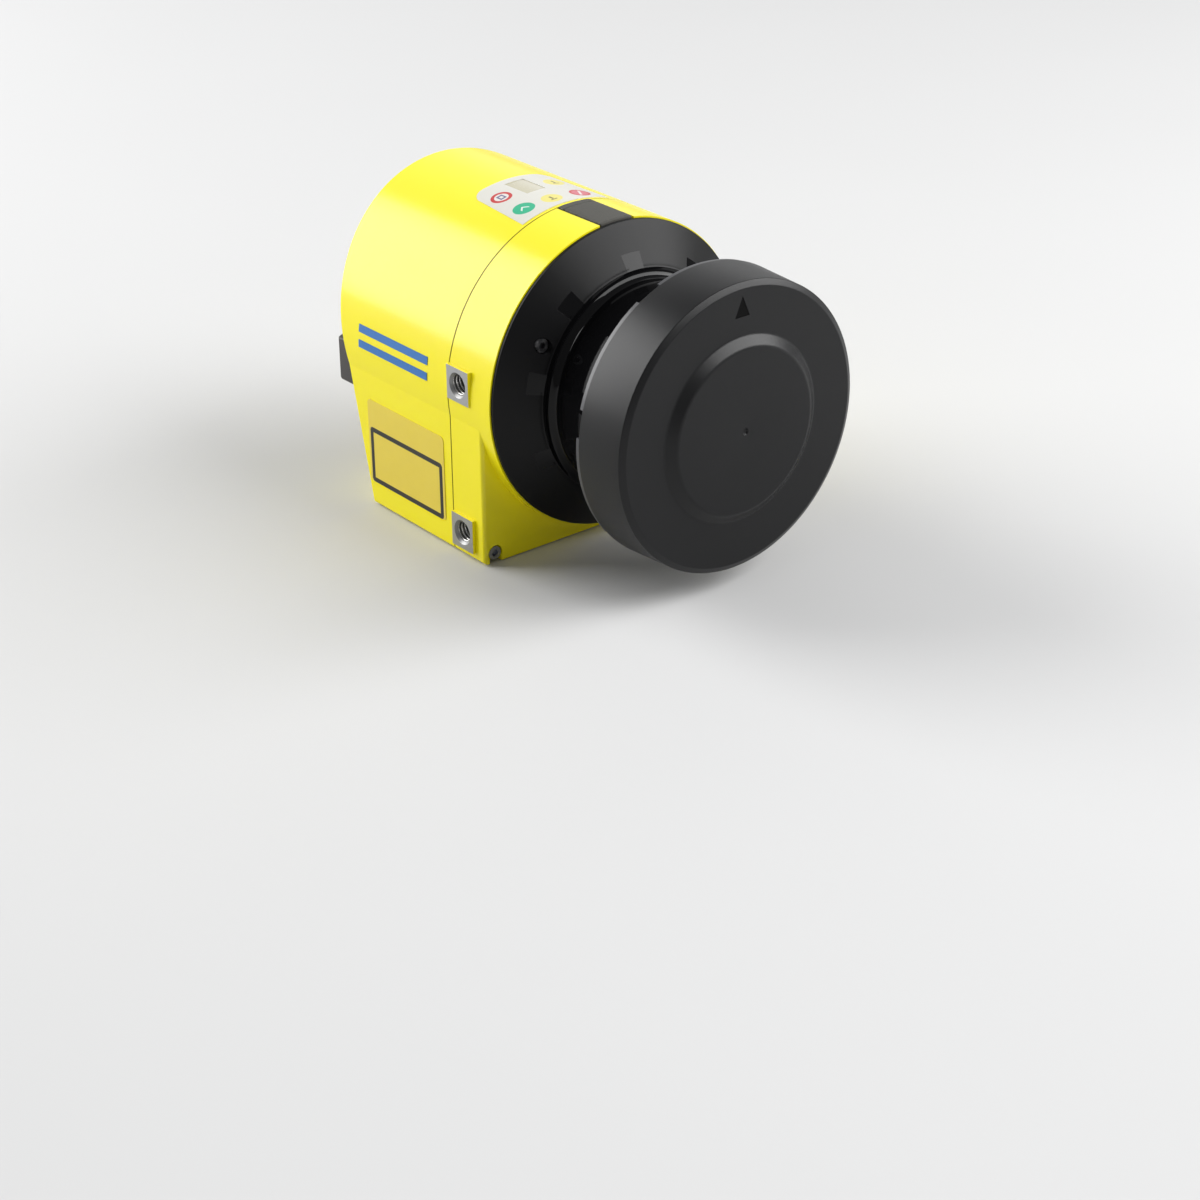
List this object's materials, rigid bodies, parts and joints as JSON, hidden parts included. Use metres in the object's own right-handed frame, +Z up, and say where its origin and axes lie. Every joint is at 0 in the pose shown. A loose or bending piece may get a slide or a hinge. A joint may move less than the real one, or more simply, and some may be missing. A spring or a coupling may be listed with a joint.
{
  "type": "safety laser scanner",
  "caption": "Compact safety laser scanner: round cast body with a flat back, black waisted optics window and domed head, display panel and system plug.",
  "frame": {"origin": "centre of the bounding box in plan, on the plane of the mounting pads", "axes": "+Y from the head to the base along the scanner axis, +Z up from the mounting back to the display, +X to the right seen from the head"},
  "size_m": [0.1032, 0.152, 0.1064],
  "materials": {
    "yellow_paint": "semi-gloss paint on a die casting",
    "black_rubber": "matt rubber",
    "dark_steel": "blackened steel",
    "black_optic": "black polycarbonate, satin flange, polished window",
    "dark_grey_plastic": "moulded",
    "charcoal_plastic": "fine spark-eroded texture",
    "winding_copper": "enamelled windings",
    "board_green": "solder mask on glass-fibre board",
    "black_plastic": "moulded",
    "bright_steel": "ground",
    "mirror_glass": "front-surface mirror",
    "black_metal": "black anodised",
    "lens_glass": "coated",
    "barrel_brass": "turned",
    "clear_lamp": "moulded light pipe",
    "flex_amber": "polyimide film",
    "display_ivory": "window over a digit display",
    "film_white": "printed film",
    "film_yellow": "printed film",
    "mark_blue": "printed",
    "plug_black": "moulded",
    "terminal_green": "moulded"
  },
  "bodies": {
    "scanner": {"rear_housing": "yellow_paint", "front_housing": "yellow_paint", "housing_seal": "black_rubber", "housing_screws": "dark_steel", "optics_cover": "black_optic", "cover_seal": "black_rubber", "cover_screws": "dark_steel", "head_plate": "dark_grey_plastic", "head_cap": "charcoal_plastic", "motor_stator": "winding_copper", "motor_board": "board_green", "encoder_sensor": "black_plastic", "motor_bearings": "bright_steel", "lens_tube": "black_metal", "bench_screws": "bright_steel", "receiving_lens": "lens_glass", "lens_ring": "black_metal", "laser_holder": "black_metal", "laser_barrel": "barrel_brass", "receiver_board": "board_green", "photodiode": "black_plastic", "sensor_ring": "board_green", "sensor_lamps": "clear_lamp", "head_flex": "flex_amber", "main_board": "board_green", "power_board": "board_green", "board_spacers": "barrel_brass", "board_link": "black_plastic", "display_board": "board_green", "digit_display": "display_ivory", "display_window": "display_ivory", "status_lamps": "clear_lamp", "display_film": "film_white", "side_label": "film_yellow", "side_mark": "mark_blue", "config_socket": "black_plastic", "config_flap_root": "black_rubber", "system_header": "black_plastic", "plug_housing": "plug_black", "plug_seal": "black_rubber", "plug_board": "board_green", "plug_socket": "black_plastic", "terminal_block": "terminal_green", "plug_screws": "bright_steel", "gland_body": "plug_black", "gland_nut": "plug_black", "gland_blank": "black_rubber"},
    "rotor": {"rotor_shaft": "bright_steel", "motor_bell": "bright_steel", "encoder_disc": "black_plastic", "mirror_carrier": "black_plastic", "scan_mirror": "mirror_glass"},
    "socket_cover": {"config_flap": "black_rubber"}
  },
  "joints": [
    {"name": "mirror_spin", "type": "hinge", "parent": "scanner", "child": "rotor", "pos_m": [0, -0.05049, 0.055], "axis": [0, 1, 0], "continuous": true},
    {"name": "socket_cover_hinge", "type": "hinge", "parent": "scanner", "child": "socket_cover", "pos_m": [0, 0.00321, 0.1064], "axis": [-1, 0, 0], "range_deg": [0, 100]}
  ]
}
